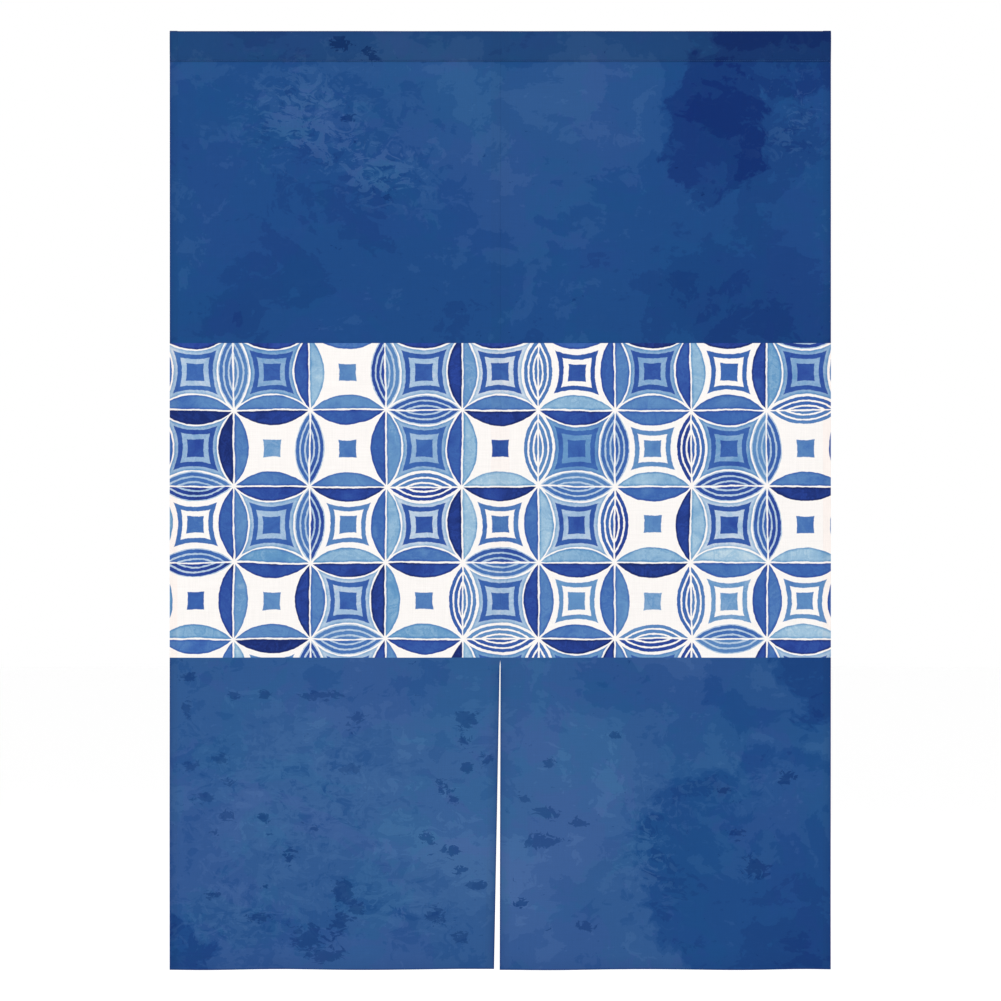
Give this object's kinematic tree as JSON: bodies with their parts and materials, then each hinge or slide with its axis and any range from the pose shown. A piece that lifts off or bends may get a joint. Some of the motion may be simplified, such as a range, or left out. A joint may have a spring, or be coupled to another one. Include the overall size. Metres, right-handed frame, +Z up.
{
  "type": "noren curtain",
  "caption": "Flat doorway curtain of printed cloth, its panels seamed together above and slit apart below, under a rod pocket along the top edge.",
  "frame": {"origin": "middle of the top edge, where the rod in the pocket carries the curtain", "axes": "+X along the rod to the right as seen from the front, +Z up, -Y out of the printed front"},
  "size_m": [0.85, 0.0209, 1.207],
  "materials": {
    "printed_cloth": "matt plain weave, printed in mottled indigo with a patterned band"
  },
  "bodies": {
    "root": {"rod_pocket": "printed_cloth", "left_panel": "printed_cloth", "right_panel": "printed_cloth"}
  },
  "joints": []
}
